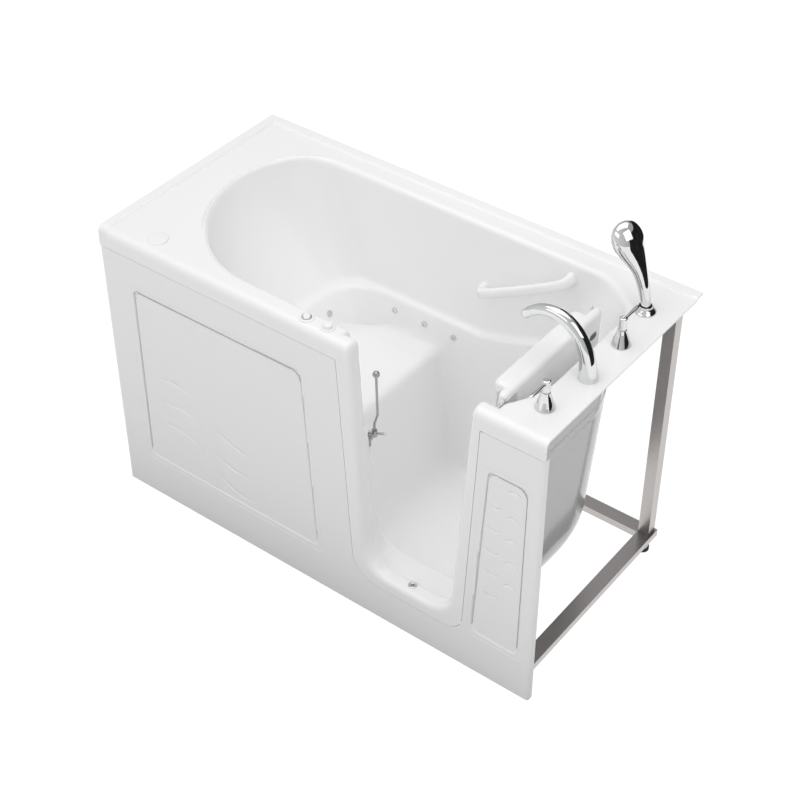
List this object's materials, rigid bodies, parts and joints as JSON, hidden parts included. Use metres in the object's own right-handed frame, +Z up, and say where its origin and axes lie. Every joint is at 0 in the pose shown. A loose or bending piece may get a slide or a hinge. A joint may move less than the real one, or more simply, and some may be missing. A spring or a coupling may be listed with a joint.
{
  "type": "walk-in air tub",
  "caption": "White walk-in air bathtub with an inward-opening door, seat, foot well, air jets, deck filler, hand shower, grab bar and a framed skirt on a steel frame.",
  "frame": {"origin": "centre of the footprint, on the floor", "axes": "+X along the tub towards the filler end, -Y towards the door side, +Z up"},
  "size_m": [1.524, 0.762, 1.2115],
  "materials": {
    "tub_white": "polished gel coat",
    "skirt_white": "polished gel coat",
    "door_white": "polished gel coat",
    "fitting_white": "polished",
    "chrome": "polished plate",
    "frame_steel": "brushed stainless",
    "hinge_steel": "brushed stainless",
    "rubber_black": "matt",
    "seal_grey": "matt",
    "pipe_white": "moulded",
    "dark_plastic": "moulded",
    "grey_plastic": "moulded",
    "motor_paint": "satin paint",
    "zinc_steel": "zinc plated"
  },
  "bodies": {
    "tub": {"tub_shell_deck": "tub_white", "tub_shell_door_surround": "tub_white", "tub_shell_walls": "tub_white", "tub_shell_seat": "tub_white", "tub_shell_foot_well": "tub_white", "front_panel": "skirt_white", "frame_base_rails": "frame_steel", "frame_cross_rails": "frame_steel", "frame_posts": "frame_steel", "tub_supports": "frame_steel", "foot_pads": "rubber_black", "foot_studs_and_nuts": "zinc_steel", "panel_clips": "zinc_steel", "hinge_jamb_leaves": "hinge_steel", "hinge_pins": "hinge_steel", "latch_bracket": "chrome", "latch_pin": "chrome", "grab_bar": "fitting_white", "grab_bar_nuts": "zinc_steel", "air_jet_bodies": "pipe_white", "air_jet_faces": "chrome", "air_jet_lock_nuts": "pipe_white", "blower_tray": "zinc_steel", "blower_housing": "dark_plastic", "blower_lid": "dark_plastic", "blower_motor": "motor_paint", "air_supply_pipe": "pipe_white", "air_check_valve": "grey_plastic", "air_manifold": "pipe_white", "control_box": "grey_plastic", "deck_cap": "fitting_white", "air_button_ring": "fitting_white", "air_button_bellows": "rubber_black", "air_button_housing": "grey_plastic", "drain_knob_ring": "fitting_white", "valve_bases": "chrome", "valve_bodies": "chrome", "deck_lock_nuts": "zinc_steel", "spout": "chrome", "shower_holder": "chrome", "drain_flange": "chrome", "drain_tailpiece": "pipe_white", "sill_drain": "chrome"},
    "door": {"door_panel": "door_white", "door_finger_pull": "grey_plastic", "door_seal": "seal_grey", "hinge_door_leaves": "hinge_steel"},
    "latch": {"latch_arm": "chrome", "latch_lever": "chrome", "latch_knob": "chrome", "latch_screw": "chrome", "latch_pressure_pad": "seal_grey"},
    "hot_handle": {"hot_lever": "chrome"},
    "cold_handle": {"cold_lever": "chrome"},
    "hand_shower": {"hand_shower": "chrome", "shower_spray_face": "grey_plastic"},
    "air_button": {"air_button": "chrome"},
    "drain_knob": {"drain_knob": "fitting_white"},
    "drain_stopper": {"drain_stopper": "chrome"},
    "blower_wheel": {"blower_impeller": "grey_plastic"}
  },
  "joints": [
    {"name": "door_hinge", "type": "hinge", "parent": "tub", "child": "door", "pos_m": [0.575, -0.304, 0.56], "axis": [0, 0, 1], "range_deg": [0, 90]},
    {"name": "latch_swing", "type": "hinge", "parent": "tub", "child": "latch", "pos_m": [0.104, -0.25, 0.527], "axis": [0, 0, -1], "range_deg": [0, 120]},
    {"name": "hot_handle_turn", "type": "hinge", "parent": "tub", "child": "hot_handle", "pos_m": [0.6815, -0.266, 1.02], "axis": [0, 0, -1], "range_deg": [0, 90]},
    {"name": "cold_handle_turn", "type": "hinge", "parent": "tub", "child": "cold_handle", "pos_m": [0.699, 0.063, 1.02], "axis": [0, 0, 1], "range_deg": [0, 90]},
    {"name": "hand_shower_lift", "type": "slide", "parent": "tub", "child": "hand_shower", "axis": [0, 0, 1], "range_m": [0, 0.12]},
    {"name": "air_button_press", "type": "slide", "parent": "tub", "child": "air_button", "axis": [0, 0, -1], "range_m": [0, 0.003], "stiffness_N_per_m": 400, "springref_m": -0.003, "deforming": ["air_button_bellows"]},
    {"name": "drain_knob_turn", "type": "hinge", "parent": "tub", "child": "drain_knob", "pos_m": [0.049, -0.344, 0.95], "axis": [0, 0, -1], "range_deg": [0, 90]},
    {"name": "drain_stopper_lift", "type": "slide", "parent": "tub", "child": "drain_stopper", "axis": [0, 0, 1], "range_m": [0, 0.0095]},
    {"name": "blower_spin", "type": "hinge", "parent": "tub", "child": "blower_wheel", "pos_m": [-0.456, 0, 0.2], "axis": [0, 0, 1], "continuous": true}
  ],
  "couplings": [
    {"joint": "drain_knob_turn", "follows": "drain_stopper_lift", "rad_per_m": 165.3}
  ]
}
